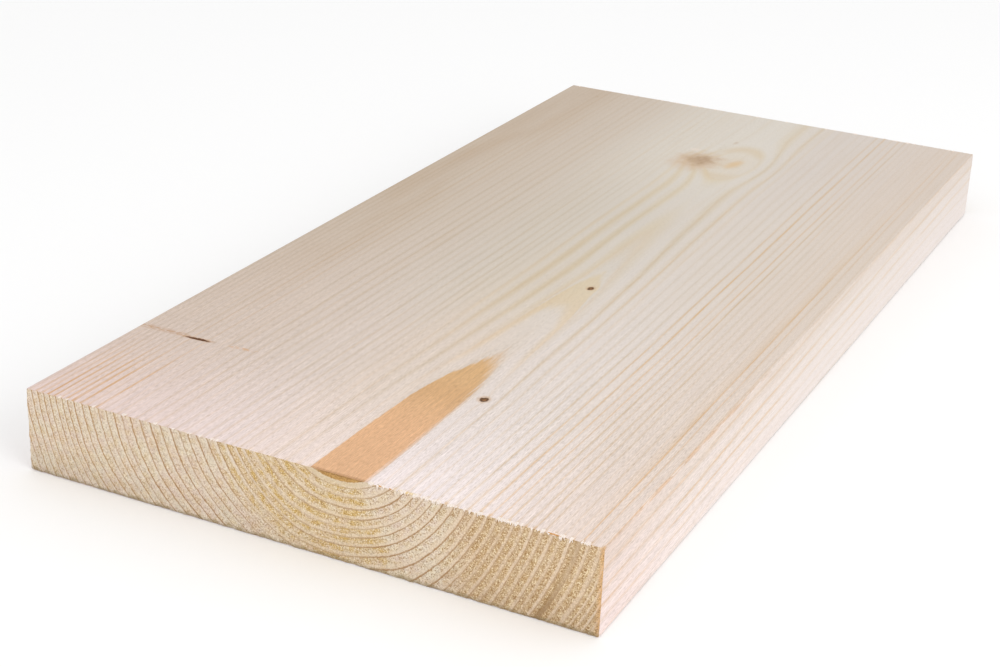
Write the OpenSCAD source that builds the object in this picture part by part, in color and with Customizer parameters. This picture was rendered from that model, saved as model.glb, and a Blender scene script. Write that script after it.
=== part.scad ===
// Planed softwood plank, lying flat, sawn square at both ends.
// +Y runs along the grain, +X across the width and +Z up through the thickness.
// The origin is at the middle of the underside.

/* [Section] */
// Planed width of the board, from edge to edge
board_width = 195; // [60:1:300]
// Planed thickness of the board, from face to face
board_thickness = 28; // [12:1:80]
// Radius that eases the four long arrises
arris_radius = 0.5; // [0.2:0.1:5]

/* [Length] */
// Length between the two sawn ends
board_length = 405; // [100:1:6000]

/* [Hidden] */

// Pale spruce
wood_color = "#ead9c6";

// Smoothness of the eased arrises
arris_segments = 48;

// Section across the grain: a planed rectangle whose corners are arcs, with its underside on the X axis
module board_section() {
    face_width = board_width - 2 * arris_radius;
    edge_height = board_thickness - 2 * arris_radius;
    translate([0, board_thickness / 2]) {
        square([face_width, board_thickness], center = true);
        square([board_width, edge_height], center = true);
        for (side = [-1, 1], level = [-1, 1])
            translate([side * face_width / 2, level * edge_height / 2])
                circle(r = arris_radius, $fn = arris_segments);
    }
}

// The board: its section drawn out along the grain between two square saw cuts
module plank() {
    color(wood_color)
        rotate([90, 0, 0])
            linear_extrude(height = board_length, center = true)
                board_section();
}

plank();
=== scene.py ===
"""Planed spruce plank lying flat: grain, knots and sawn ends, worked out from how the tree grew."""
import math

import bmesh
import bpy
import numpy as np
from mathutils import Matrix, Vector


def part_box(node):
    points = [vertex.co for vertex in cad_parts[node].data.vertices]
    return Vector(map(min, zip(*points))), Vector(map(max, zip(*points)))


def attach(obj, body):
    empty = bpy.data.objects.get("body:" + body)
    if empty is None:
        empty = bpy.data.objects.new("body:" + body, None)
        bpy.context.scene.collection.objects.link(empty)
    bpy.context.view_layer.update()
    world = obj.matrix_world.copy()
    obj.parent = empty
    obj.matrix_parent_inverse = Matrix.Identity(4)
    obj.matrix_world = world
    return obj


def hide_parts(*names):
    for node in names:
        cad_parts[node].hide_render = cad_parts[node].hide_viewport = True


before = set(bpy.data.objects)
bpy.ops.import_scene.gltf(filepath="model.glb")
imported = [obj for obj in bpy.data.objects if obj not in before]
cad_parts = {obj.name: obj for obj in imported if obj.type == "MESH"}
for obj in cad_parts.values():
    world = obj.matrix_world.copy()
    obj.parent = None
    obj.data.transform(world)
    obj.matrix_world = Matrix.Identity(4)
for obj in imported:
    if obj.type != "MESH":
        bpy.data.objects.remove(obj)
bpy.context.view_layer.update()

# Sizes, in millimetres unless a name says otherwise
MM = 0.001
SEED = 7
low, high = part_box("plank")
WIDTH, LENGTH, THICKNESS = (edge / MM for edge in high - low)
ARRIS_RADIUS = 0.5

# The pith runs above the top face. Its height over that face, by distance from the near end
PITH_NEAR_HEIGHT = 18.3
PITH_HEIGHTS = [
    (-40, 18.2), (0, PITH_NEAR_HEIGHT), (35, 18.69), (60, 19.05), (95, 20.47), (143, 21.25),
    (186, 22.3), (223, 22.8), (292, 24.05), (352, 24.7), (405, 25.0), (445, 25.2),
]
PITH_NEAR_X, PITH_FAR_X = 15.9, 14.9
# How far the innermost layers stray sideways from the pith, by distance from the near end,
# and how far that reaches across and below the top face
CORE_STRAY = [
    (-40, -1.5), (0, -1.5), (50, -1.2), (97, 0.7), (150, 0.3), (188, 0.3),
    (225, -1.6), (295, -1.9), (405, -1.8), (445, -1.8),
]
CORE_REACH, CORE_DEPTH = 18.0, 4.0
# Shape of the layers: a little wider towards the far end, leaning to one side, drawn out downwards,
# and flattened under the pith
TAPER, LEAN, DEPTH_SHARE = 0.002, 0.02, 0.93
FLAT_SHARE, FLAT_REACH = 0.13, 15.0
# Outer radius of each year's ring on the near end, on each side of the pith.
# The second is the brown heart's edge
LEFT_RADII = [
    17.5, 20.3, 22.4, 25.4, 29.3, 32.8, 36.1, 38.7, 41.0, 44.0, 47.2, 50.5, 53.6, 56.7, 59.4,
    62.6, 66.0, 69.5, 73.0, 76.3, 79.1, 81.8, 84.4, 87.0, 90.1, 92.6, 95.6, 97.9, 99.9, 102.2,
    104.5, 106.7, 108.9, 111.2, 113.7, 116.2, 118.7, 121.2, 123.7, 126.2,
]
RIGHT_RADII = [
    17.5, 20.3, 22.1, 25.0, 28.2, 30.8, 33.3, 35.7, 38.4, 41.3, 44.8, 48.1, 51.2, 54.0, 56.6,
    59.0, 61.9, 64.5, 67.4, 70.4, 72.7, 75.6, 78.5, 81.0, 85.0, 86.8, 88.8, 90.8, 93.1, 95.4,
    97.6, 99.8, 102.0,
]
# Right of the pith the layers swell away from the near end: how far, over which stretch along,
# and where across the swelling rises and fades, from the pith
SWELL, SWELL_ALONG, SWELL_ACROSS = 1.4, (20, 130), (20, 32, 52, 78)
# Towards the underside the layers bend in on the left and on the far right, and spread between them:
# how far, where across each rises and fades, from the pith, and the depth where it starts
BEND_LEFT, BEND_LEFT_ACROSS = 3.0, (-110, -75, -50, -12)
BEND_RIGHT, BEND_RIGHT_ACROSS = 2.0, (60, 95)
SPREAD, SPREAD_ACROSS = 2.2, (8, 25, 48, 66)
BEND_DEPTH = 8.0
# Left of the pith, beyond the heart's tip, the second year's layer draws in: how far,
# its middle and reach across, from the pith, and where along it rises and fades
PINCH, PINCH_X, PINCH_REACH, PINCH_ALONG = 1.0, -14.5, 7.0, (100, 150, 290, 330)

# Branches cut by the top face: x and distance from the near end there, and radius across and along
BIG_KNOT = (-2.6, 330.0, 10.5, 12.0)
PIN_KNOTS = [(27.2, 66.3, 1.5, 1.75), (17.7, 168.6, 1.15, 1.6)]
# Where branches push the layers outward: x and distance from the near end on the top face,
# reach across and along the grain, and how far they push
BULGES = [
    (10.2, 333.4, 17.0, 24.0, 3.9),
    (-2.3, 328.3, 7.0, 9.0, 3.2),
    (*PIN_KNOTS[0][:2], 3.0, 5.0, 0.5),
    (*PIN_KNOTS[1][:2], 2.5, 4.0, 0.4),
]
# Resin streak and pale spot by the big knot, and two small brown spots elsewhere on the top face:
# x, distance from the near end, reach across and along
RESIN = (12.0, 331.5, 3.0, 7.5)
PALE_SPOT = (-9.8, 342.4, 2.6, 2.4)
SPOTS = [(-79.3, 393.0, 0.9, 2.0), (2.1, 361.0, 1.1, 2.6)]
# Twig lying in the top face, across the grain: its two ends there and half its thickness
TWIG_FROM, TWIG_TO, TWIG_HALF = (-80.0, 58.6), (-69.9, 59.15), 0.75
# Straw-coloured flame beyond the heart's tip: where along the top face it rises and fades
FLAME_ALONG = (72.0, 118.0, 182.0, 202.0)
# Yellow fibres smeared along the near top edge: x of their middle and their reach across
SMEAR_X, SMEAR_REACH = 36.0, 4.5

# How strongly the end of a year shows as a line: in any year, and by ring on each side of the pith
PLAIN_LINE = 0.12
DARK_RING = 21
RIGHT_LINES = {
    2: 0.32, 3: 0.16, 4: 0.20, 5: 0.20, 6: 0.22, 7: 0.26, 8: 0.44, 9: 0.52, 10: 0.54, 11: 0.48,
    12: 0.44, 13: 0.45, 14: 0.32, 15: 0.32, 16: 0.52, 17: 0.22, 19: 0.18, DARK_RING: 0.58,
    22: 0.34, 23: 0.34, 24: 0.35, 25: 0.55, 26: 0.65, 27: 0.40,
}
# The same well away from the near end, where other years stand out
FAR_RIGHT_LINES = {
    2: 0.32, 3: 0.28, 4: 0.10, 7: 0.16, 8: 0.16, 9: 0.55, 10: 0.80, 11: 0.28, 12: 0.58, 13: 0.60,
    14: 0.16, 15: 0.08, 16: 0.16, 17: 0.08, DARK_RING: 0.44, 22: 0.36, 23: 0.16, 24: 0.30,
    25: 0.45, 26: 0.50, 27: 0.35,
}
LEFT_LINES = {
    2: 0.14, 3: 0.14, 4: 0.12, 7: 0.20, 8: 0.17, 9: 0.22, 12: 0.15, 15: 0.20, 16: 0.25, 17: 0.18,
    18: 0.17, 19: 0.17, 22: 0.27, 24: 0.36,
}
# Lines on the left that show so strongly only by the near end
NEAR_LEFT_LINES = {
    22: 0.62, 24: 0.95, 25: 0.70, 26: 1.00, 27: 0.50, 28: 0.72, 29: 0.95, 30: 0.38, 31: 0.50,
}
# Stretches along the plank over which the near lines fade and the far ones rise
NEAR_LINES_FADE, FAR_LINES_RISE = (66.0, 14.0), (80.0, 170.0)

# Relief: waves of the planed faces, and on the sawn ends fine and coarse tears, the late wood's ridges
# and how deep they all lie
PLANED_WAVE = 0.02
FINE_TEAR, COARSE_TEAR, LATE_RIDGE, SAWN_DEPTH = 0.09, 0.07, 0.10, 0.18
# Depth of the hollows at the twig, at the pin knots and at the big knot
TWIG_HOLLOW, PIN_HOLLOW, KNOT_HOLLOW = 0.35, 0.28, 0.10
# Torn fibres on the sawn ends' top edges: end (-1 near, 1 far), from x to x, tufts, and how far they hang
TORN_EDGES = [
    (-1, 25.0, 93.0, 76, 1.6),
    (-1, -90.0, 2.0, 14, 0.6),
    (1, -95.0, 95.0, 50, 0.9),
]
# Amber splinters on the near top edge: x of the root, run across and lift
SPLINTERS = [(80.5, 4.4, 0.25), (82.0, 2.2, 0.10), (27.5, 1.6, 0.10), (31.0, 1.2, 0.12)]
# Spacing of the mesh's lines across and along the plank, and their first places behind a sawn end
MESH_ACROSS, MESH_ALONG = 0.9, 3.6
END_LINES = [0.0, 0.3, 0.8, 1.6]
# Where the mesh is finer: distance from the near end, reach and spacing
CLOSE_UPS = [(BIG_KNOT[1], 22.0, 1.6), (TWIG_FROM[1], 2.5, 0.45)]
CLOSE_UPS += [(knot[1], 2.5, 0.5) for knot in PIN_KNOTS]

# Camera, fitted to the plank's corners. Angles in degrees
CAMERA_AZIMUTH, CAMERA_ELEVATION, CAMERA_ROLL = 25.67, 23.31, 2.41
CAMERA_DISTANCE, CAMERA_AIM = 678.9, (-5.8, -58.1, 14.0)
LENS_MM, SENSOR_MM = 68.98, 36.0
# Floor and light. Lengths in metres, power in watts
FLOOR_HALF, FLOOR_DROP = 6.0, 0.0002
SKY_STRENGTH = 0.95
LAMP_PLACE, LAMP_AIM, LAMP_SIZE = (0.9, -0.45, 0.55), (0.0, -0.05, 0.0), 0.8
LAMP_POWER, LAMP_COLOUR = 3.6, (1.0, 0.99, 0.975)

# Shine of the wood, and the places of a Mix node's two colours and of its result
WOOD_SHINE = 0.25
MIX_BASE, MIX_OTHER, MIX_RESULT = 6, 7, 2


def smooth_step(value, start, end):
    """Rises smoothly from 0 at start to 1 at end, or falls where end is the lower."""
    t = np.clip((value - start) / (end - start), 0, 1)
    return t * t * (3 - 2 * t)


def between(value, start, full, fade, stop):
    """Rises from 0 at start to 1 at full, and falls from 1 at fade to 0 at stop."""
    return smooth_step(value, start, full) * smooth_step(value, stop, fade)


def smooth_curve(at, points):
    """Cubic curve through points, its slope at each taken from the neighbours."""
    xs, ys = np.array(points, float).T
    slope = np.gradient(ys, xs)
    i = np.clip(np.searchsorted(xs, at) - 1, 0, len(xs) - 2)
    gap = xs[i + 1] - xs[i]
    t = (at - xs[i]) / gap
    ends = ys[i] * (1 + 2 * t) * (1 - t) ** 2 + ys[i + 1] * t ** 2 * (3 - 2 * t)
    bends = slope[i] * t * (1 - t) ** 2 - slope[i + 1] * t ** 2 * (1 - t)
    return ends + gap * bends


def value_noise(u, v, salt):
    """Smooth random values from -1 to 1 on a plane of unit cells."""
    cell_u, cell_v = np.floor(u), np.floor(v)
    fu, fv = u - cell_u, v - cell_v
    fu, fv = fu * fu * (3 - 2 * fu), fv * fv * (3 - 2 * fv)

    def corner(du, dv):
        mixed = np.sin((cell_u + du) * 127.1 + (cell_v + dv) * 311.7 + salt * 74.7) * 43758.5453
        return 2 * (mixed - np.floor(mixed)) - 1

    near = corner(0, 0) * (1 - fu) + corner(1, 0) * fu
    far = corner(0, 1) * (1 - fu) + corner(1, 1) * fu
    return near * (1 - fv) + far * fv


def inward_bend(across, depth):
    """How far the layers bend in on their way down to the underside."""
    bend = BEND_LEFT * between(across, *BEND_LEFT_ACROSS)
    bend += BEND_RIGHT * smooth_step(across, *BEND_RIGHT_ACROSS)
    bend -= SPREAD * between(across, *SPREAD_ACROSS)
    return bend * (np.maximum(depth - BEND_DEPTH, 0) / (THICKNESS - BEND_DEPTH)) ** 2


def ring_radius(x, along, depth):
    """Distance from the pith of the layer through each point, as it was on the near end."""
    pith_x = PITH_NEAR_X + (PITH_FAR_X - PITH_NEAR_X) * along / LENGTH
    height = smooth_curve(along, PITH_HEIGHTS)
    across = x - pith_x
    stray = np.exp(-((across / CORE_REACH) ** 2) - (depth / CORE_DEPTH) ** 2)
    across = across - smooth_curve(along, CORE_STRAY) * stray
    flat = across * (1 - FLAT_SHARE * np.exp(-((across / FLAT_REACH) ** 2)))
    radius = np.hypot(flat, height + DEPTH_SHARE * depth) + LEAN * across - TAPER * along
    radius -= SWELL * smooth_step(along, *SWELL_ALONG) * between(across, *SWELL_ACROSS)
    radius += inward_bend(across, depth)
    radius += PINCH * between(along, *PINCH_ALONG) * np.exp(-(((across - PINCH_X) / PINCH_REACH) ** 2))
    for bulge_x, bulge_along, reach_x, reach_along, push in BULGES:
        axis_x = pith_x + (bulge_x - pith_x) * (height + depth) / height
        away = ((x - axis_x) / reach_x) ** 2 + ((along - bulge_along) / reach_along) ** 2
        radius -= push * np.exp(-away)
    return radius


def ring_count(radius, x):
    """Years grown at each radius, counted from the brown heart's edge, where it is 0."""
    right = smooth_step(x - PITH_NEAR_X, -25.0, 25.0)
    sides = (LEFT_RADII, RIGHT_RADII)
    on_left, on_right = (np.interp(radius, radii, np.arange(len(radii)) - 1.0) for radii in sides)
    return on_left * (1 - right) + on_right * right


def line_strength(ring, x, along):
    """How strongly the nearest year's line shows at each point."""
    years = np.arange(len(LEFT_RADII))

    def curve(lines):
        strengths = np.full(len(years), PLAIN_LINE)
        for year, strength in lines.items():
            strengths[year] = strength
        return np.interp(ring, years, strengths)

    near = smooth_step(along, *NEAR_LINES_FADE)
    far = smooth_step(along, *FAR_LINES_RISE)
    right = smooth_step(x - PITH_NEAR_X, -5.0, 5.0)
    on_left = curve(LEFT_LINES) * (1 - near) + np.maximum(curve(LEFT_LINES), curve(NEAR_LEFT_LINES)) * near
    on_right = curve(RIGHT_LINES) * (1 - far) + curve(FAR_RIGHT_LINES) * far
    return on_left * (1 - right) + on_right * right


def twig_distance(x, along):
    """Distance from the twig's middle line."""
    start, end = np.array(TWIG_FROM), np.array(TWIG_TO)
    run = end - start
    share = np.clip(((x - start[0]) * run[0] + (along - start[1]) * run[1]) / (run @ run), 0, 1)
    return np.hypot(x - start[0] - share * run[0], along - start[1] - share * run[1])


def knot_distance(x, along, knot):
    """Distance from a knot's middle on the top face, in its radii."""
    knot_x, knot_along, reach_x, reach_along = knot
    return np.hypot((x - knot_x) / reach_x, (along - knot_along) / reach_along)


def relief(x, along, depth, outward, ring):
    """How far each point stands out: planed faces wave a little, sawn ends are rough, knots are hollow."""
    on_end, on_top = outward[:, 1] != 0, outward[:, 2] > 0
    planed = PLANED_WAVE * value_noise(x / 7 + depth / 5, along / 60, 1) - PLANED_WAVE
    late = smooth_step(ring - np.floor(ring), 0.6, 0.95)
    fine = FINE_TEAR * value_noise(x / 1.1, depth / 1.1, 2)
    coarse = COARSE_TEAR * value_noise(x / 2.5, depth / 0.9, 3)
    sawn = fine + coarse + (LATE_RIDGE * late - SAWN_DEPTH)
    out = np.where(on_end, sawn, planed)
    out -= on_top * TWIG_HOLLOW * smooth_step(twig_distance(x, along), TWIG_HALF + 0.35, 0.1)
    for knot in PIN_KNOTS:
        out -= on_top * PIN_HOLLOW * smooth_step(knot_distance(x, along, knot), 1.3, 0.2)
    out -= on_top * KNOT_HOLLOW * smooth_step(knot_distance(x, along, BIG_KNOT), 1.0, 0.2)
    return out


def ruled(length, edge_lines, step, close_ups=()):
    """Positions from 0 to length: set lines at both edges, then step apart, or closer in a close-up."""
    at = list(edge_lines)
    stop = length - edge_lines[-1]
    while at[-1] < stop - step / 2:
        near = [fine for middle, reach, fine in close_ups if abs(at[-1] - middle) <= reach]
        at.append(at[-1] + min(near, default=step))
    inner = np.array(at[len(edge_lines) - 1:])
    inner = inner[0] + (inner - inner[0]) * (stop - inner[0]) / (inner[-1] - inner[0])
    return np.concatenate([edge_lines[:-1], inner, length - np.array(edge_lines[-2::-1])])


def block_sides(cells):
    """The six sides of a block of cells: the axis each faces along, and its quads of lattice places."""
    turns = ((0, 0), (1, 0), (1, 1), (0, 1))
    for axis in range(3):
        u, v = (axis + 1) % 3, (axis + 2) % 3
        a, b = np.meshgrid(np.arange(cells[u]), np.arange(cells[v]), indexing="ij")
        for is_high in (False, True):
            quads = np.zeros(a.shape + (4, 3), int)
            for corner, (du, dv) in enumerate(turns if is_high else turns[::-1]):
                quads[..., corner, axis] = cells[axis] if is_high else 0
                quads[..., corner, u] = a + du
                quads[..., corner, v] = b + dv
            yield axis, quads.reshape(-1, 4, 3)


def block_surface(lines):
    """Surface of a ruled block: its points, the ways each faces, its quads, and which are on an end."""
    counts = np.array([len(at) for at in lines])
    sides = list(block_sides(counts - 1))
    quads = np.concatenate([faces for _, faces in sides])
    on_end = np.concatenate([np.full(len(faces), axis == 1) for axis, faces in sides])
    keys = (quads[..., 0] * counts[1] + quads[..., 1]) * counts[2] + quads[..., 2]
    used, corners = np.unique(keys, return_inverse=True)
    steps = np.stack(np.unravel_index(used, tuple(counts)), 1)
    place = np.stack([at[step] for at, step in zip(lines, steps.T)], 1)
    outward = (steps == counts - 1).astype(float) - (steps == 0)
    return place, outward, corners.reshape(keys.shape), on_end


def ease_arrises(place, outward):
    """Moves the corner points of the long arrises in, onto their arcs."""
    on_arris = (outward[:, 0] != 0) & (outward[:, 2] != 0)
    cut = ARRIS_RADIUS * (1 - math.sqrt(0.5))
    for axis in (0, 2):
        place[on_arris, axis] -= outward[on_arris, axis] * cut


def store(mesh, name, values):
    """Keeps one number for each point of a mesh, for its material to read."""
    mesh.attributes.new(name, "FLOAT", "POINT").data.foreach_set("value", np.asarray(values, np.float32))


def plank_mesh():
    """Closed mesh of the plank with its eased arrises and relief, and the growth stored on its points."""
    arris_lines = [0.0, ARRIS_RADIUS]
    xs = ruled(WIDTH, arris_lines, MESH_ACROSS) - WIDTH / 2
    ys = ruled(LENGTH, END_LINES, MESH_ALONG, CLOSE_UPS) - LENGTH / 2
    zs = ruled(THICKNESS, arris_lines, MESH_ACROSS)
    place, outward, corners, on_end = block_surface((xs, ys, zs))
    ease_arrises(place, outward)

    x, along, depth = place[:, 0].copy(), place[:, 1] + LENGTH / 2, THICKNESS - place[:, 2]
    ring = ring_count(ring_radius(x, along, depth), x)
    direction = outward / np.linalg.norm(outward, axis=1)[:, None]
    place += direction * relief(x, along, depth, outward, ring)[:, None]

    mesh = bpy.data.meshes.new("plank")
    mesh.from_pydata((place * MM).tolist(), [], corners.tolist())
    mesh.polygons.foreach_set("material_index", on_end.astype(np.int32))
    store(mesh, "ring", ring)
    store(mesh, "bold", line_strength(ring, x, along))
    mesh.shade_smooth()
    mesh.set_sharp_from_angle(angle=math.radians(60))
    mesh.update()
    return mesh


class Flow:
    """A value in a material's node tree. Sums and products of flows add the nodes that work them out."""

    def __init__(self, tree, socket):
        self.tree = tree
        self.socket = socket

    def math(self, operation, *others):
        """Adds a Math node that works on this flow and the other values."""
        values = dict(enumerate((self,) + others))
        return add_node(self.tree, "ShaderNodeMath", values, operation=operation)

    def __add__(self, other):
        return self.math("ADD", other)

    def __sub__(self, other):
        return self.math("SUBTRACT", other)

    def __mul__(self, other):
        return self.math("MULTIPLY", other)

    def __truediv__(self, other):
        return self.math("DIVIDE", other)

    __radd__ = __add__
    __rmul__ = __mul__

    def __rsub__(self, other):
        return (self * -1.0) + other

    def floor(self):
        return self.math("FLOOR")

    def size(self):
        return self.math("ABSOLUTE")

    def capped(self, limit):
        return self.math("MINIMUM", limit)

    def step(self, start, end):
        """Rises smoothly from 0 at start to 1 at end, or falls where end is the lower plain number."""
        plain = isinstance(start, (int, float)) and isinstance(end, (int, float))
        falls = plain and start > end
        lower, upper = (end, start) if falls else (start, end)
        values = {"Value": self, "From Min": lower, "From Max": upper}
        values.update({"To Min": float(falls), "To Max": float(not falls)})
        return add_node(self.tree, "ShaderNodeMapRange", values, "Result", interpolation_type="SMOOTHSTEP")

    def between(self, start, full, fade, stop):
        """Rises from 0 at start to 1 at full, and falls from 1 at fade to 0 at stop."""
        return self.step(start, full) * self.step(stop, fade)


def feed(tree, node, values):
    """Links flows to a node's inputs, by name or place, and sets the inputs that get plain values."""
    for key, value in values.items():
        if isinstance(value, Flow):
            tree.links.new(value.socket, node.inputs[key])
        else:
            node.inputs[key].default_value = value


def add_node(tree, kind, values, output=0, **settings):
    """Adds a node with these settings, feeds its inputs and gives one of its outputs as a flow."""
    node = tree.nodes.new(kind)
    for name, setting in settings.items():
        setattr(node, name, setting)
    feed(tree, node, values)
    return Flow(tree, node.outputs[output])


def distance(across, lengthwise):
    """Length of a line from its two parts, both flows."""
    return (across * across + lengthwise * lengthwise).math("SQRT")


def paint(*display):
    """A colour given as 0 to 255 display values, none of them under 11, as the linear colour nodes take."""
    return (*(((part / 255 + 0.055) / 1.055) ** 2.4 for part in display), 1.0)


class Board:
    """The node tree of one wood material, with the readings that the plank's surfaces share."""

    def __init__(self, name):
        self.material = bpy.data.materials.new(name)
        self.material.use_nodes = True
        self.tree = self.material.node_tree
        self.place = self.product(self.add("ShaderNodeTexCoord", {}, "Object"), (1 / MM,) * 3)
        self.x, y, z = (self.add("ShaderNodeSeparateXYZ", {0: self.place}, axis) for axis in "XYZ")
        self.along = y + LENGTH / 2
        self.depth = THICKNESS - z

    def add(self, kind, values, output=0, **settings):
        """Adds a node to this tree."""
        return add_node(self.tree, kind, values, output, **settings)

    def product(self, place, factors):
        """A place with each of its coordinates multiplied by its own factor."""
        return self.add("ShaderNodeVectorMath", {0: place, 1: factors}, operation="MULTIPLY")

    def pair(self, first, second):
        """A place in a plane, from its two coordinates."""
        return self.add("ShaderNodeCombineXYZ", {"X": first, "Y": second})

    def stored(self, name):
        """A number that was stored on the mesh's points."""
        return self.add("ShaderNodeAttribute", {}, "Fac", attribute_name=name)

    def noise(self, across, lengthwise, **options):
        """Noise from 0 to 1 whose grain is that many millimetres across and along the plank."""
        stretched = self.product(self.place, (1 / across, 1 / lengthwise, 1 / across))
        return self.noise_at(stretched, **options)

    def noise_at(self, place, detail=2.0, rough=0.5, salt=0.0):
        """Noise from 0 to 1 at a place, its grain one unit wide. Each salt gives another noise."""
        values = {"Vector": place, "W": salt, "Scale": 1.0, "Detail": detail, "Roughness": rough}
        return self.add("ShaderNodeTexNoise", values, "Fac", noise_dimensions="4D")

    def luck(self, value):
        """A random number from 0 to 1 for each whole value."""
        return self.add("ShaderNodeTexWhiteNoise", {"W": value}, "Value", noise_dimensions="1D")

    def blend(self, way, share, base, other):
        """base where share is 0, changed by other in the way given as far as share says."""
        values = {"Factor": share, MIX_BASE: base, MIX_OTHER: other}
        return self.add("ShaderNodeMix", values, MIX_RESULT, data_type="RGBA", blend_type=way)

    def mix(self, share, base, other):
        """base where share is 0, other where it is 1."""
        return self.blend("MIX", share, base, other)

    def tinted(self, share, colour, tint):
        """colour multiplied by a tint as far as share says."""
        return self.blend("MULTIPLY", share, colour, (*tint, 1.0))

    def shaded(self, colour, amount):
        """colour made lighter or darker by a factor."""
        return self.add("ShaderNodeVectorMath", {0: colour, "Scale": amount}, operation="SCALE")

    def finish(self, colour, roughness, height, bump_mm):
        """Feeds the shader and gives the finished material."""
        bump = {"Strength": 1.0, "Distance": bump_mm * MM, "Height": height}
        look = {"Base Color": colour, "Roughness": roughness, "Specular IOR Level": WOOD_SHINE}
        look["Normal"] = self.add("ShaderNodeBump", bump)
        feed(self.tree, self.tree.nodes["Principled BSDF"], look)
        return self.material


def growth(board):
    """Ring count with a little wander, and how far the nearest year's line is, in years."""
    wander = (board.noise(9.0, 90.0) - 0.5) * 0.24 + (board.noise(1.2, 30.0, salt=3.0) - 0.5) * 0.10
    serration = (board.noise(0.5, 3.0, detail=1.0, salt=27.0) - 0.5) * 0.12
    ring = board.stored("ring") + wander + serration
    share = ring - ring.floor()
    return ring, 0.5 - (share - 0.5).size()


def oval(board, x, along, reach_x, reach_along):
    """Distance from a point of the top face, in reaches: 1 on the oval's edge."""
    return distance((board.x - x) / reach_x, (board.along - along) / reach_along)


def branch(board, knot):
    """Distance from the axis of a branch that grew out from the pith, in its radii at that depth."""
    x, along, reach_x, reach_along = knot
    height = float(smooth_curve(along, PITH_HEIGHTS))
    spread = (board.depth + height) / height
    across = (board.x - PITH_NEAR_X - spread * (x - PITH_NEAR_X)) / (spread * reach_x)
    return distance(across, (board.along - along) / (spread * reach_along))


def top_ground(board, rosy):
    """Planed face between the lines: rosy and brighter at the near end, beige and darker beyond, darker
    towards the left; this darkening away from the near right is partly painted light falloff.
    """
    broad = board.noise(14.0, 90.0, salt=11.0)
    # Brighter towards the near end and the right: partly the wood's own tone, partly painted light falling
    # off away from the lamp
    right = board.mix(rosy, paint(213, 203, 194), paint(240, 228, 227))
    left = board.mix(rosy, paint(197, 182, 166), paint(224, 202, 196))
    colour = board.mix(board.x.step(60.0, -105.0), right, left)
    stray = board.x + (broad - 0.5) * 26.0
    tan_band = stray.step(-62.0, -82.0) * board.along.step(70.0, 190.0) * broad.step(0.30, 0.75)
    colour = board.mix(tan_band * 0.6, colour, paint(184, 160, 134))
    warm = board.x.between(-30.0, -8.0, 4.0, 16.0) * board.along.step(240.0, 150.0)
    colour = board.tinted(warm, colour, (1.0, 0.975, 0.93))
    middle = board.x.between(-60.0, -15.0, 10.0, 40.0)
    colour = board.tinted(middle * board.along.step(90.0, 160.0), colour, (0.975, 1.0, 0.995))
    colour = board.mix(middle * board.along.step(240.0, 340.0) * 0.42, colour, paint(222, 216, 206))
    far_right = board.x.step(15.0, 45.0) * board.along.step(250.0, 350.0)
    colour = board.tinted(far_right, colour, (0.97, 0.97, 0.98))
    margin = board.x.step(45.0, 90.0) * (0.30 + 0.20 * rosy)
    return board.mix(margin, colour, paint(212, 189, 168))


def edge_ground(board, rosy):
    """Long narrow sides between the lines: tan by the top arris, paler and rosier below."""
    upper = board.mix(rosy, paint(219, 209, 203), paint(217, 199, 192))
    lower = board.mix(rosy, paint(226, 217, 213), paint(227, 209, 205))
    patch = board.noise(3.0, 40.0, salt=10.0)
    colour = board.mix((board.depth + (patch - 0.5) * 8.0).step(5.0, 28.0), upper, lower)
    skirt = (board.depth + (patch - 0.5) * 3.0).step(7.0, 6.0)
    return board.mix(skirt * 0.20, colour, paint(196, 176, 154))


def pale_ground(board, on_side):
    """Wood between the lines, on the planed faces and on the narrow sides."""
    streak = board.noise(1.6, 45.0, detail=3.0, salt=9.0)
    # Weight of the near end: rosier there, and on the top face also brighter, partly as painted light
    rosy = board.along.step(75.0, -20.0) * 0.65 + board.along.step(240.0, 30.0) * 0.35
    colour = board.mix(on_side, top_ground(board, rosy), edge_ground(board, rosy))
    colour = board.tinted(streak.step(0.50, 0.75) * 0.5, colour, (0.97, 0.93, 0.87))
    return board.tinted(streak.step(0.50, 0.25) * 0.5, colour, (0.97, 0.98, 1.0))


def faint_lines(board, colour, from_line, luck, far, fading):
    """The faint ripple that every year leaves, a darker stripe that is partly the late wood's tone and
    partly painted shade of the raised grain, weaker beyond the heart's tip and on the far right.
    """
    waver = board.noise(2.4, 70.0, detail=1.0, salt=6.0).step(0.25, 0.70)
    shreds = board.noise(0.7, 7.0, salt=39.0).step(0.36, 0.60)
    beyond_tip = far * board.x.between(-60.0, -35.0, 5.0, 20.0)
    # Darker soft stripe by each year's line: the late wood's own tone, and painted shade of the raised
    # grain's ripple
    faint = from_line.step(0.38, 0.04) * (0.22 + 0.85 * luck) * (0.5 + 0.5 * waver)
    faint = faint * (0.70 + 0.45 * shreds) * (1.0 - 0.6 * beyond_tip)
    leftward = board.x.step(0.0, -40.0) * board.along.step(20.0, 70.0)
    shown = 0.95 - far * (0.40 + 0.22 * board.x.step(30.0, 60.0)) + 0.24 * leftward
    return board.tinted(faint * shown * fading, colour, (0.92, 0.91, 0.865))


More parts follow.
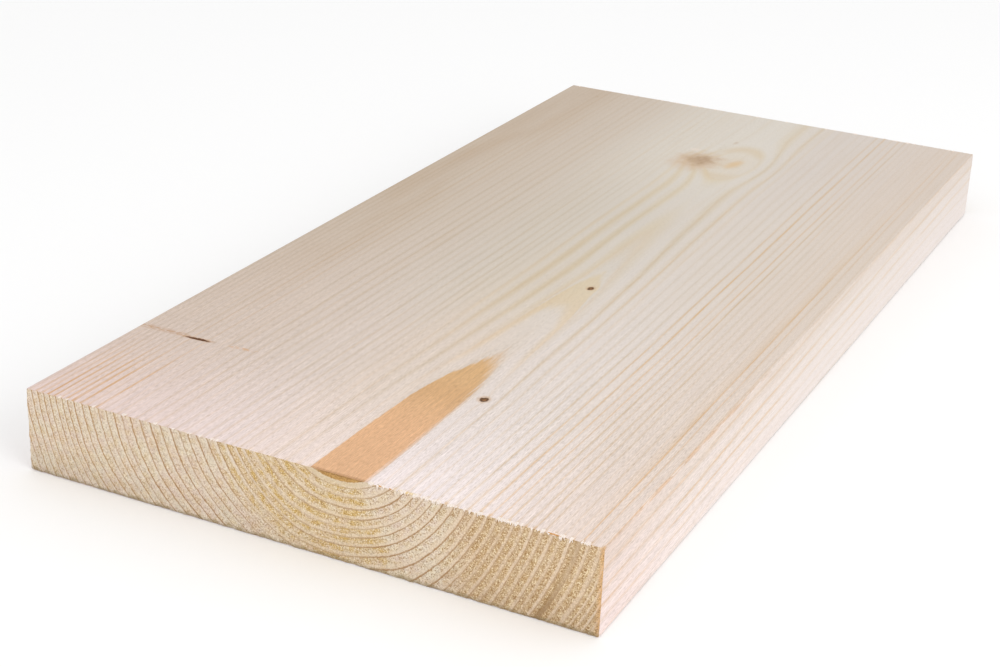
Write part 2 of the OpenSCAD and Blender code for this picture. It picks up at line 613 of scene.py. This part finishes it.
def bold_lines(board, colour, from_line, brown, far, fading, on_side):
    """The broken line of a bold year in its soft halo: amber, or brown as far as brown says."""
    bold = board.stored("bold")
    breaks = board.noise(0.9, 26.0, salt=5.0).step(0.30, 0.60)
    strength = bold * (0.48 + 0.56 * breaks) * fading * (1.0 - on_side * (0.60 - 0.45 * breaks))
    corner = board.x.step(-60.0, -72.0) * board.along.step(60.0, 20.0)
    halo = from_line.step(0.36, 0.05) * strength
    colour = board.tinted(halo * (0.45 + 0.25 * far + 0.55 * corner), colour, (0.98, 0.89, 0.72))
    width = bold * 0.09 + 0.06 * corner + 0.09
    core = (1.0 - from_line.step(0.03, width)) * strength * (1.0 - 0.25 * far)
    colour = board.tinted(core * (1.0 - brown), colour, (0.97, 0.70, 0.38))
    return board.tinted(core * brown, colour, (0.84, 0.68, 0.42))


def year_lines(board, colour, ring, from_line, on_side):
    """Late wood at the end of each year: a faint ripple everywhere, and a thin line where it is bold."""
    far = board.along.step(150.0, 390.0)
    fading = (1.0 - 0.30 * far) * (1.0 - 0.5 * far * board.x.step(-70.0, -90.0))
    year = (ring + 0.5).floor()
    other_draw = year + 100.0
    colour = faint_lines(board, colour, from_line, board.luck(year), far, fading)
    return bold_lines(board, colour, from_line, board.luck(other_draw), far, fading, on_side)


def straw_flame(board, ring):
    """The flame of the first year beyond the heart's tip: only its rim at first, then filled."""
    limit = 1.0 - 0.14 * board.along.step(108.0, 158.0) - 0.05 * board.along.step(158.0, 190.0)
    soft_edge = (board.noise(2.5, 14.0, salt=43.0) - 0.5) * 26.0
    filled = (board.along + soft_edge).step(116.0, 164.0)
    rim = ring.step(0.52 - 0.34 * filled, 0.86 - 0.38 * filled)
    flame = (ring / limit).step(1.06, 0.94) * (0.10 + (0.56 + 0.32 * filled) * rim)
    return flame * board.along.between(*FLAME_ALONG)


def straw_wood(board, colour, ring, from_line):
    """Straw yellow of the first years: soft lines beside the heart, and a flame beyond its tip."""
    right = board.x.step(PITH_NEAR_X - 5.0, PITH_NEAR_X + 5.0)
    before_knot = board.along.step(352.0, 335.0)
    soft = from_line.step(0.42, 0.05) * ring.between(0.9, 1.1, 3.6, 4.4)
    soft = soft * (0.62 - 0.34 * right) * right.math("MAXIMUM", before_knot)
    flame = straw_flame(board, ring)
    straw = soft * board.along.step(40.0, 200.0) + flame
    colour = board.tinted(straw, colour, (1.0, 0.925, 0.75))
    peach = flame * board.along.step(170.0, 140.0)
    return board.tinted(peach * 0.6, colour, (1.0, 0.95, 0.90))


def dark_year(board, colour, ring):
    """The dark year's broad patchy shade on the right of the top face."""
    patches = board.noise(3.0, 34.0, salt=45.0).step(0.34, 0.62)
    shade = ring.between(DARK_RING - 1.1, DARK_RING - 0.1, DARK_RING, DARK_RING + 0.25)
    shade = shade * board.x.step(40.0, 60.0) * board.depth.step(1.0, 0.5)
    shade = shade * board.along.between(0.0, 60.0, 180.0, 330.0) * (0.45 + 0.55 * patches)
    return board.tinted(shade * 0.95, colour, (0.95, 0.86, 0.72))


def amber_arris(board, colour):
    """The broken amber line along the top right arris."""
    edge = WIDTH / 2
    chips = board.noise(0.7, 12.0, salt=29.0).step(0.42, 0.56)
    arris = board.x.step(edge - 1.1, edge - 0.3) * board.depth.step(1.2, 0.3)
    arris = arris * chips * (0.25 + 0.75 * (board.along - 70.0).size().step(75.0, 25.0))
    return board.tinted(arris * 0.6, colour, (0.90, 0.66, 0.42))


def torn_rim(board, colour, from_line):
    """Near top edge, where the saw tore the fibres: painted shade in the gaps between the torn tufts where
    the lines end, and a yellow smear.
    """
    brink = board.along.step(2.6, 0.3) * board.depth.step(1.0, 0.5)
    ragged = board.noise(1.1, 5.0, salt=41.0)
    # Painted shade of the gaps between the torn tufts, where the lines meet the edge
    painted_gap_shade = from_line.step(0.34, 0.10) * ragged.step(0.38, 0.56) * (0.35 + 0.65 * board.x.step(20.0, 40.0))
    colour = board.tinted(painted_gap_shade * brink, colour, (0.86, 0.72, 0.52))
    smear = (board.x - SMEAR_X).size().step(SMEAR_REACH, SMEAR_REACH - 2.0) * ragged.step(0.36, 0.50)
    return board.mix(smear * board.along.step(1.8, 0.6) * 0.65, colour, paint(224, 196, 126))


def heart_wood(board, colour, ring, fuzz):
    """The brown heart where the top face cuts it: rosy, deeper towards its tip, with painted shadow along
    the torn near edge.
    """
    right = board.x.step(PITH_NEAR_X - 3.0, PITH_NEAR_X + 3.0)
    feather = right * 0.12 + board.along.step(70.0, 95.0) * 0.02 + 0.03
    ragged = (ring + (fuzz - 0.5) * 3.0 * feather) / feather
    heart = ragged.step(1.0, -1.0) * board.along.step(250.0, 200.0)
    tip = board.along.step(25.0, 90.0)
    tone = board.mix(tip, paint(219, 171, 127), paint(208, 166, 114))
    deep_band = (board.along - 64.0).size().step(14.0, 0.0)
    tone = board.mix(deep_band * 0.40, tone, paint(194, 150, 100))
    # Painted shadow along the torn near edge of the heart
    painted_lip_shadow = (board.along + (fuzz - 0.5) * 1.5).step(1.5, 0.4)
    tone = board.mix(painted_lip_shadow * 0.55, tone, paint(158, 112, 66))
    return board.mix(heart * 0.95, colour, board.shaded(tone, 1.0 + (fuzz - 0.5) * 0.25))


def knot_surround(board, colour, top, blur):
    """Soft skirt of the big knot, and the tan bends of the grain round the resin streak."""
    x, along, reach_x, reach_along = BIG_KNOT
    skirt = oval(board, x - 2.5, along - 6.0, reach_x, reach_along) + (blur - 0.5) * 0.6
    colour = board.mix(skirt.step(1.3, 0.3) * top * 0.55, colour, paint(203, 177, 150))
    x, along = RESIN[:2]
    inside = oval(board, x - 1.5, along + 1.0, 9.0, 22.0).step(1.0, 0.6)
    colour = board.tinted(inside * top * 0.6, colour, (1.0, 0.96, 0.90))
    bend = (oval(board, x - 1.8, along + 2.0, 9.5, 20.5) - 1.0).size().step(0.42, 0.0)
    ends = 0.25 + 0.75 * (board.along - along).size().step(9.0, 19.0)
    return board.mix(bend * ends * top * 0.48, colour, paint(206, 184, 148))


def knot_wood(board, colour, blur):
    """The big knot itself: soft brown with a streaky darker middle."""
    away = branch(board, BIG_KNOT) + (blur - 0.5) * 0.9
    streaks = board.noise(3.0, 6.0, salt=15.0)
    colour = board.mix(away.step(1.3, 0.35) * 0.7, colour, paint(200, 173, 142))
    dark = away.step(0.82, 0.15) * (0.45 + 0.40 * streaks.step(0.3, 0.62))
    return board.mix(dark, colour, paint(164, 134, 104))


def resin_and_spots(board, colour, top, blur):
    """Slanting resin streak and pale spot by the big knot, and the small brown spots."""
    x, along, reach_x, reach_along = RESIN
    slant = (along - board.along) * 0.15
    resin = oval(board, x - slant, along, reach_x, reach_along) + (blur - 0.5) * 0.5
    colour = board.mix(resin.step(1.3, 0.2) * top * 0.70, colour, paint(212, 179, 132))
    colour = board.mix(oval(board, *PALE_SPOT).step(1.2, 0.4) * top * 0.5, colour, paint(226, 212, 200))
    for spot in SPOTS:
        colour = board.mix(oval(board, *spot).step(1.2, 0.4) * top * 0.30, colour, paint(184, 154, 124))
    return colour


def big_knot(board, colour):
    """The big soft knot and what lies round it."""
    top = board.depth.step(3.0, 1.0)
    blur = board.noise(5.0, 4.0, salt=13.0)
    colour = knot_surround(board, colour, top, blur)
    colour = knot_wood(board, colour, blur)
    return resin_and_spots(board, colour, top, blur)


def pin_knot(board, colour, knot):
    """Small dead twig: a dark bark ring round a brown middle."""
    away = branch(board, knot) + (board.noise(0.8, 0.8, salt=17.0) - 0.5) * 0.9
    colour = board.mix(away.step(1.9, 0.9) * 0.55, colour, paint(190, 150, 104))
    colour = board.mix(away.step(1.1, 0.75), colour, paint(92, 60, 30))
    return board.mix(away.step(0.65, 0.2) * 0.75, colour, paint(150, 104, 60))


def twig_stain(board, colour, level, shallow):
    """Brown stain from the lying twig out to the edge, and a few specks on its other side."""
    x0, x1 = TWIG_FROM[0], TWIG_TO[0]
    ragged = board.noise(1.5, 0.7, salt=21.0)
    stain = (level - 0.5).size().step(2.2, 0.2) * board.x.step(x0 + 3.0, x0 - 1.0) * ragged.step(0.34, 0.58)
    colour = board.mix(stain * shallow * 0.72, colour, paint(184, 144, 108))
    beside = board.x.between(x1 + 6.0, x1 + 9.0, x1 + 16.0, x1 + 19.0)
    specks = (level - 1.0).size().step(1.4, 0.2) * beside * ragged.step(0.46, 0.60)
    return board.mix(specks * shallow * 0.8, colour, paint(206, 160, 116))


def lying_twig(board, colour):
    """Dark twig lying in the top face, with its stain."""
    (x0, along0), (x1, along1) = TWIG_FROM, TWIG_TO
    level = board.along - along0 + (board.noise(1.2, 0.8, salt=19.0) - 0.5) * 0.7
    off = level - (board.x - x0) * ((along1 - along0) / (x1 - x0))
    lengthwise = (board.x - (x0 + x1) / 2) / ((x1 - x0) / 2)
    away = distance(lengthwise, off / TWIG_HALF)
    shallow = board.depth.step(2.5, 1.0)
    colour = twig_stain(board, colour, level, shallow)
    colour = board.mix(away.step(1.6, 0.9) * shallow * 0.6, colour, paint(190, 150, 112))
    return board.mix(away.step(1.1, 0.70) * shallow, colour, paint(94, 58, 30))


def fibre_grain(board, colour, fleck, fibre, fuzz):
    """Fine fibres of the planed wood, clearer towards the near end."""
    near = board.along.step(220.0, 25.0)
    colour = board.mix(fleck.step(0.56, 0.72) * (0.12 + 0.40 * near), colour, board.shaded(colour, 1.10))
    colour = board.tinted(fibre.step(0.47, 0.32) * (0.18 + 0.30 * near), colour, (0.90, 0.85, 0.76))
    grainy = 1.0 + (fibre - 0.5) * (0.22 + 0.46 * near) + (fuzz - 0.5) * (0.06 + 0.04 * near)
    grainy = grainy + (fleck - 0.5) * (0.08 + 0.26 * near)
    return board.shaded(colour, grainy)


def planed_wood():
    """Long grain: pale, with a thin line where each year ends, the brown heart and the knots."""
    board = Board("spruce_long_grain")
    ring, from_line = growth(board)
    on_side = board.x.size().step(WIDTH / 2 - 0.4, WIDTH / 2 - 0.1)
    fleck = board.noise(0.28, 26.0, detail=1.0, salt=23.0)
    fibre = board.noise(0.20, 2.3, detail=1.0, rough=0.7, salt=7.0)
    fuzz = board.noise(0.8, 26.0, rough=0.6, salt=8.0)
    colour = year_lines(board, pale_ground(board, on_side), ring, from_line, on_side)
    colour = straw_wood(board, colour, ring, from_line)
    colour = dark_year(board, colour, ring)
    colour = amber_arris(board, colour)
    colour = torn_rim(board, colour, from_line)
    colour = heart_wood(board, colour, ring, fuzz)
    colour = fibre_grain(board, colour, fleck, fibre, fuzz)
    colour = big_knot(board, colour)
    for knot in PIN_KNOTS:
        colour = pin_knot(board, colour, knot)
    colour = lying_twig(board, colour)
    height = fibre * 0.4 + fuzz * 0.4 + from_line.step(0.45, 0.05) * 0.3 + fleck * 0.3
    return board.finish(colour, 0.64 + (fuzz - 0.5) * 0.25, height, 0.06)


def ring_streaks(board, ring):
    """Noise from 0 to 1 on a sawn end, drawn out along the year rings."""
    across = board.x - PITH_NEAR_X
    down = board.depth + PITH_NEAR_HEIGHT
    arc = across.math("ARCTAN2", down) * distance(across, down)
    return board.noise_at(board.pair(ring * 1.6, arc * 0.16), salt=37.0)


def torn_early_wood(board, ring, speckle, hue):
    """Soft early wood torn by the saw: golden round the heart, tan on the right, pale cream on the left."""
    golden = ring.step(10.5, 7.0) * (board.x - board.depth * 0.5).step(24.0, 18.0)
    tan = board.x.step(44.0, 60.0)
    smoother = board.x.step(-10.0, -30.0)
    rosy = board.noise(5.0, 5.0, salt=33.0)
    colour = board.mix(rosy.step(0.35, 0.65), paint(224, 212, 190), paint(222, 203, 185))
    streaks = ring_streaks(board, ring).step(0.35, 0.65)
    gold = hue.step(0.42, 0.62) * (0.32 + 0.10 * golden) + golden * (0.30 + 0.40 * streaks)
    colour = board.mix(gold.capped(1.0), colour, paint(210, 177, 108))
    colour = board.mix(tan * (0.50 + 0.6 * hue), colour, paint(195, 161, 116))
    rough = 0.78 + 0.04 * golden + 0.20 * tan + 0.50 * (hue - 0.5) - 0.14 * smoother
    # Dark specks and bright flecks following the torn surface's bumps: partly the wood's own speckle,
    # partly painted shade in the pits and painted highlights on the torn tips
    colour = board.mix(speckle.step(0.50, 0.34) * rough, colour, paint(150, 112, 66))
    fleck = board.mix(tan, paint(250, 240, 216), paint(246, 228, 192))
    return board.mix(speckle.step(0.53, 0.66) * rough, colour, fleck)


def late_wood(board, colour, ring, speckle):
    """Pale ridge of late wood at the end of each year, with a thin brown line of painted shadow along its
    shaded flank.
    """
    share = ring - ring.floor()
    luck = board.luck(ring.floor())
    inner = ring.step(11.0, 7.0)
    bright = board.x.between(16.0, 30.0, 48.0, 62.0)
    outer = board.x.step(42.0, 58.0)
    left = board.x.step(-4.0, -26.0)
    rim = board.x.step(-56.0, -84.0) * board.depth.step(22.0, 5.0)
    patchy = board.noise(1.0, 1.0, salt=35.0).step(0.30, 0.60)

    smooth = board.mix(outer, paint(226, 209, 184), paint(225, 203, 178))
    smooth = board.mix(left, smooth, paint(230, 218, 200))
    smooth = board.shaded(smooth, 1.0 + (speckle - 0.5) * 0.5)
    right = (0.20 + 0.40 * luck) * outer + 0.14 * board.x.step(68.0, 84.0)
    ridge = share.step(left * 0.10 + 0.50, left * 0.12 + 0.64)
    ridge = ridge * (0.24 + 0.42 * inner + right + 0.20 * bright + 0.20 * left + 0.25 * rim)
    ridge = (ridge * (0.60 + 0.40 * patchy)).capped(0.9)
    colour = board.mix(ridge, colour, smooth)

    # The painted shadow, a thin brown line, lies on the bark side of the ridge, and on its pith side at the
    # left
    bark_side = share.between(0.81, 0.93, 0.985, 1.0)
    pith_side = share.between(0.52, 0.60, 0.66, 0.74)
    flank = bark_side * (1.0 - left) + pith_side * left
    shown = 0.34 + 0.34 * luck - 0.06 * inner + 0.28 * bright - 0.08 * outer + 0.20 * left + 0.32 * rim
    line = flank * (0.7 + 0.3 * patchy) * shown.capped(0.92)
    ridge_shadow_ochre = board.mix(board.x.step(-20.0, -80.0), paint(154, 108, 48), paint(170, 124, 60))
    return board.mix(line, colour, ridge_shadow_ochre), ridge


def end_dark_year(board, colour, ring, speckle):
    """The dark year on the right of the end, deepest towards the underside."""
    dark = ring.between(DARK_RING - 0.76, DARK_RING - 0.60, DARK_RING - 0.08, DARK_RING + 0.05)
    dark = dark * board.x.step(30.0, 50.0) * (0.6 + 0.4 * board.depth.step(8.0, 26.0))
    tone = board.mix(board.depth.step(6.0, 26.0), paint(176, 146, 108), paint(156, 122, 78))
    return board.mix(dark * 0.75, colour, board.shaded(tone, 1.0 + (speckle - 0.5) * 0.6))


def end_heart(board, colour, ring, speckle):
    """Thin lens of the brown heart at the top of the end, with painted shadow along its torn top edge, and
    a plain pale band below.
    """
    pale_band = (ring + (speckle - 0.5) * 0.2).step(0.52, 0.38) * board.x.step(-6.0, 2.0)
    colour = board.mix(pale_band * 0.70, colour, paint(222, 205, 176))
    heart = ring.step(-0.03, -0.15) * board.x.step(3.0, 9.0)
    tone = board.mix(speckle.step(0.35, 0.65), paint(166, 120, 58), paint(202, 158, 88))
    # Painted shadow along the torn top edge of the lens, in dark brown
    torn = (board.depth + (speckle - 0.5) * 1.6).step(0.8, 0.2)
    tone = board.mix(torn * 0.45, tone, paint(116, 76, 38))
    return board.mix(heart * 0.92, colour, tone)


def end_edges(board, colour, speckle, hue):
    """Amber right edge of the end as painted glow of light through its fibres, a dark brown line of painted
    contact shade along its bottom edge, and the painted shade towards the underside.
    """
    edge = WIDTH / 2
    # Painted glow: amber where light shines through the fibres at the right edge
    rim = board.x.step(edge - 2.0, edge - 0.4) * speckle.step(0.3, 0.6)
    colour = board.mix(rim * 0.65, colour, paint(224, 170, 108))
    # Painted contact shade: a dark olive-brown line along the bottom edge, where the end meets the floor
    painted_foot_shade = (board.depth + (hue - 0.5) * 3.0).step(THICKNESS - 1.5, THICKNESS - 0.2)
    colour = board.mix(painted_foot_shade * 0.6, colour, paint(136, 118, 84))
    shade = board.depth.step(14.0, 30.0) * (0.08 + 0.06 * board.x.size().step(30.0, 90.0))
    return board.shaded(colour, 1.0 - shade)


def sawn_wood():
    """End grain: torn speckled early wood, then a smooth pale band and a thin brown line of painted shadow
    each year.
    """
    board = Board("spruce_end_grain")
    ring, _ = growth(board)
    speckle = board.noise(0.38, 0.38, rough=0.6, salt=2.0)
    hue = board.noise(2.6, 2.6, detail=3.0, salt=4.0)
    # The ridges come a little later at the far left, and a little earlier round the heart
    shifted = ring - 0.20 * board.x.step(-58.0, -76.0) + 0.16 * ring.step(9.0, 5.0)
    colour = torn_early_wood(board, ring, speckle, hue)
    colour, ridge = late_wood(board, colour, shifted, speckle)
    colour = end_dark_year(board, colour, ring, speckle)
    colour = end_heart(board, colour, ring, speckle)
    colour = board.tinted(board.x.step(60.0, 40.0), colour, (0.995, 0.977, 0.985))
    colour = end_edges(board, colour, speckle, hue)
    height = speckle * (1.0 - ridge * 0.6)
    return board.finish(colour, 0.78 + (speckle - 0.5) * 0.2, height, 0.20)


def torn_wood():
    """Fibres torn loose by the saw: nearly white, with a few amber splinters."""
    board = Board("spruce_torn_fibre")
    strand = board.noise(0.25, 0.25, salt=31.0)
    colour = board.mix(strand.step(0.35, 0.60), paint(226, 204, 182), paint(250, 243, 238))
    colour = board.mix(board.stored("amber"), colour, paint(206, 146, 76))
    return board.finish(colour, 0.7 + (strand - 0.5) * 0.2, strand, 0.04)


def floor_material():
    """Plain pale matt floor, a little uneven in its shine."""
    material = bpy.data.materials.new("pale_floor")
    material.use_nodes = True
    tree = material.node_tree
    grain = add_node(tree, "ShaderNodeTexNoise", {"Scale": 900.0}, "Fac")
    matt = add_node(tree, "ShaderNodeMapRange", {"Value": grain, "To Min": 0.78, "To Max": 0.86}, "Result")
    look = {"Base Color": (0.97, 0.97, 0.97, 1.0), "Roughness": matt, "Specular IOR Level": 0.1}
    feed(tree, tree.nodes["Principled BSDF"], look)
    return material


def add_object(name, data):
    """A new object in the scene that shows a mesh, a lamp or a camera."""
    item = bpy.data.objects.new(name, data)
    bpy.context.scene.collection.objects.link(item)
    return item


class Slivers:
    """Gathers slim closed spikes, each rooted in the plank, bent over an edge and run out to a tip."""

    BEND_SHARE = 0.8

    def __init__(self):
        self.points = []
        self.faces = []
        self.amber = []

    def add(self, root, bend, tip, across, thick, amber=0.0):
        """One spike, square at its root and at its slimmer bend. across and thick are half its sides."""
        first = len(self.points)
        root, bend, tip, across, thick = (np.array(v, float) for v in (root, bend, tip, across, thick))
        for middle, share in ((root, 1.0), (bend, self.BEND_SHARE)):
            for u, v in ((-1, -1), (1, -1), (1, 1), (-1, 1)):
                self.points.append(middle + (across * u + thick * v) * share)
        self.points.append(tip)
        self.faces.append([first + n for n in (3, 2, 1, 0)])
        for n in range(4):
            m = (n + 1) % 4
            self.faces.append([first + n, first + m, first + 4 + m, first + 4 + n])
            self.faces.append([first + 4 + n, first + 4 + m, first + 8])
        self.amber += [amber] * (len(self.points) - first)

    def mesh(self, name):
        """All the spikes as one mesh, its faces turned outward."""
        mesh = bpy.data.meshes.new(name)
        mesh.from_pydata((np.array(self.points) * MM).tolist(), [], self.faces)
        store(mesh, "amber", self.amber)
        work = bmesh.new()
        work.from_mesh(mesh)
        bmesh.ops.recalc_face_normals(work, faces=work.faces)
        work.to_mesh(mesh)
        work.free()
        return mesh


def torn_edge(slivers, random, end, start, stop, tufts, drop):
    """Tufts of one to three fibres that hang over part of a sawn end's top edge."""
    edge = end * LENGTH / 2
    for middle in np.sort(random.uniform(start, stop, tufts)):
        size = random.uniform(0.4, 1.0)
        for _ in range(random.integers(1, 4)):
            x = middle + random.normal(0.0, 0.35)
            half = size * random.uniform(0.15, 0.50)
            hang = drop * size * random.uniform(0.3, 1.0)
            out = random.uniform(0.10, 0.35)
            root = (x, edge - end * random.uniform(0.4, 1.4), THICKNESS - 0.05)
            bend = (x + random.uniform(-0.1, 0.1), edge + end * out * 0.6, THICKNESS - 0.04)
            tip = (x + random.uniform(-0.4, 0.4), edge + end * out, THICKNESS - hang)
            slivers.add(root, bend, tip, (half, 0, 0), (0, end * 0.03, 0.06))


def amber_splinter(slivers, x, run, lift):
    """A splinter that lies along the near top edge and lifts a little."""
    edge = -LENGTH / 2
    root = (x, edge + 0.25, THICKNESS - 0.10)
    bend = (x + run * 0.4, edge - 0.15, THICKNESS + lift * 0.5)
    tip = (x + run, edge - 0.30, THICKNESS + lift)
    slivers.add(root, bend, tip, (0, 0.16, 0), (0, 0, 0.14), amber=1.0)


def make_torn_fibres():
    """Loose fibres and splinters on the sawn ends' top edges, as one piece."""
    random = np.random.default_rng(SEED)
    slivers = Slivers()
    for torn in TORN_EDGES:
        torn_edge(slivers, random, *torn)
    for splinter in SPLINTERS:
        amber_splinter(slivers, *splinter)
    fibres = add_object("torn_fibres", slivers.mesh("torn_fibres"))
    fibres.data.materials.append(torn_wood())
    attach(fibres, "root")


def make_plank():
    """The plank itself, planed wood on its long faces and sawn wood on its ends."""
    plank = add_object("spruce_plank", plank_mesh())
    plank.data.materials.append(planed_wood())
    plank.data.materials.append(sawn_wood())
    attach(plank, "root")
    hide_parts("plank")


def make_floor():
    """Wide level floor just under the plank."""
    half = FLOOR_HALF
    corners = [(-half, -half, 0), (half, -half, 0), (half, half, 0), (-half, half, 0)]
    mesh = bpy.data.meshes.new("floor")
    mesh.from_pydata(corners, [], [(0, 1, 2, 3)])
    mesh.materials.append(floor_material())
    floor = add_object("floor", mesh)
    floor.location.z = -FLOOR_DROP


def make_light():
    """White sky all round, and one soft round lamp on the right."""
    world = bpy.data.worlds.new("studio")
    bpy.context.scene.world = world
    world.use_nodes = True
    sky = world.node_tree.nodes["Background"]
    sky.inputs["Color"].default_value = (1.0, 1.0, 1.0, 1.0)
    sky.inputs["Strength"].default_value = SKY_STRENGTH
    data = bpy.data.lights.new("key", "AREA")
    data.shape = "DISK"
    data.size = LAMP_SIZE
    data.energy = LAMP_POWER
    data.color = LAMP_COLOUR
    lamp = add_object("key", data)
    lamp.location = LAMP_PLACE
    towards = Vector(LAMP_AIM) - Vector(LAMP_PLACE)
    lamp.rotation_euler = towards.to_track_quat("-Z", "Y").to_euler()


def make_camera():
    """Camera at the photograph's viewing angle, turned about its own axis by the roll."""
    turn, tilt, roll = (math.radians(a) for a in (CAMERA_AZIMUTH, CAMERA_ELEVATION, CAMERA_ROLL))
    back = Vector((math.sin(turn) * math.cos(tilt), -math.cos(turn) * math.cos(tilt), math.sin(tilt)))
    level = Vector((math.cos(turn), math.sin(turn), 0.0))
    upright = back.cross(level)
    right = level * math.cos(roll) + upright * math.sin(roll)
    up = upright * math.cos(roll) - level * math.sin(roll)
    data = bpy.data.cameras.new("camera")
    data.sensor_fit = "HORIZONTAL"
    data.sensor_width = SENSOR_MM
    data.lens = LENS_MM
    data.clip_start = 0.01
    camera = add_object("camera", data)
    place = (Vector(CAMERA_AIM) + back * CAMERA_DISTANCE) * MM
    camera.matrix_world = Matrix.Translation(place) @ Matrix((right, up, back)).transposed().to_4x4()
    bpy.context.scene.camera = camera


make_plank()
make_torn_fibres()
make_floor()
make_light()
make_camera()
bpy.context.scene.view_settings.view_transform = "Standard"
